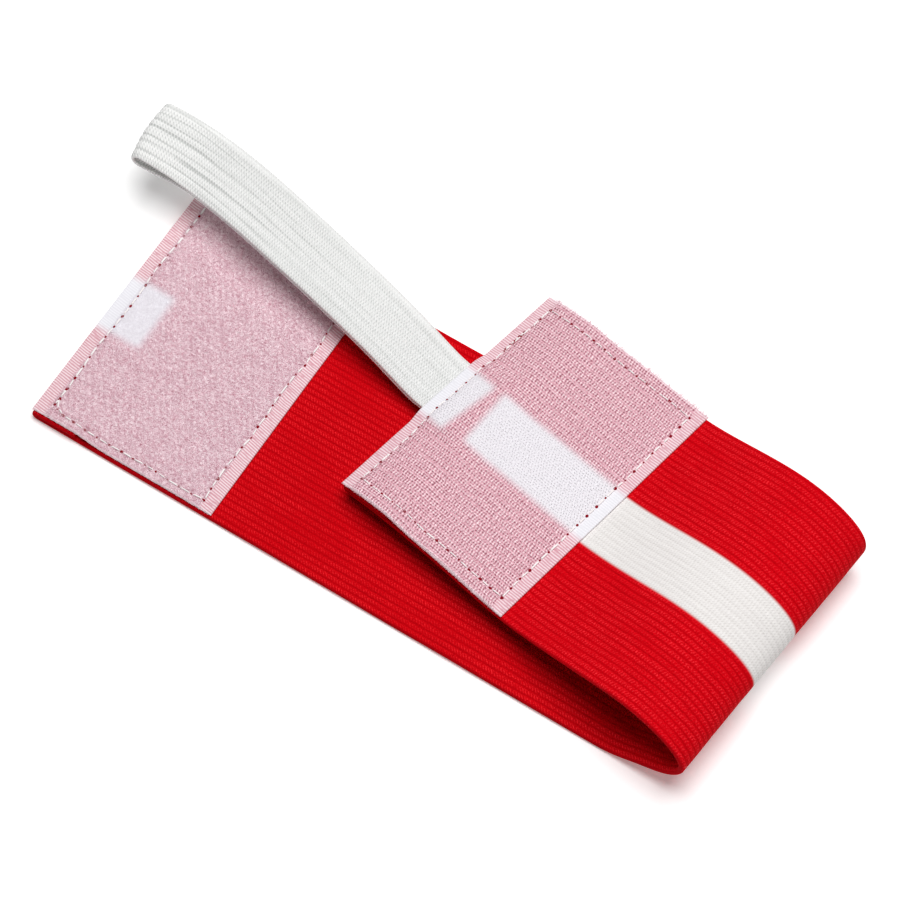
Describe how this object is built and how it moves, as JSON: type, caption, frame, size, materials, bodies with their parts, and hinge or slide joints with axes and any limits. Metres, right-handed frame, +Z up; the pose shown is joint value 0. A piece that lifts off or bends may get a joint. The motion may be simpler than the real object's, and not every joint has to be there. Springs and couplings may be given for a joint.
{
  "type": "captain armband",
  "caption": "Wide elastic sports armband with hook and loop tape patches and a narrow elastic loop, lying folded back over itself once.",
  "frame": {"origin": "on the table, under the middle of the whole armband as it lies", "axes": "+X along the flat lower run towards the fold, +Y across it to the side the upper run leans to, +Z up from the table"},
  "size_m": [0.1984, 0.09, 0.0214],
  "materials": {
    "band_cloth": "woven, ribbed, red with a white centre stripe on its outer face",
    "loop_tape": "soft brushed pile, translucent white over red",
    "hook_tape": "stiff hooked weave, translucent white over red",
    "white_elastic": "knitted, ribbed, white"
  },
  "bodies": {
    "root": {"band": "band_cloth", "loop_patch": "loop_tape", "hook_patch": "hook_tape", "elastic_loop": "white_elastic"}
  },
  "joints": []
}
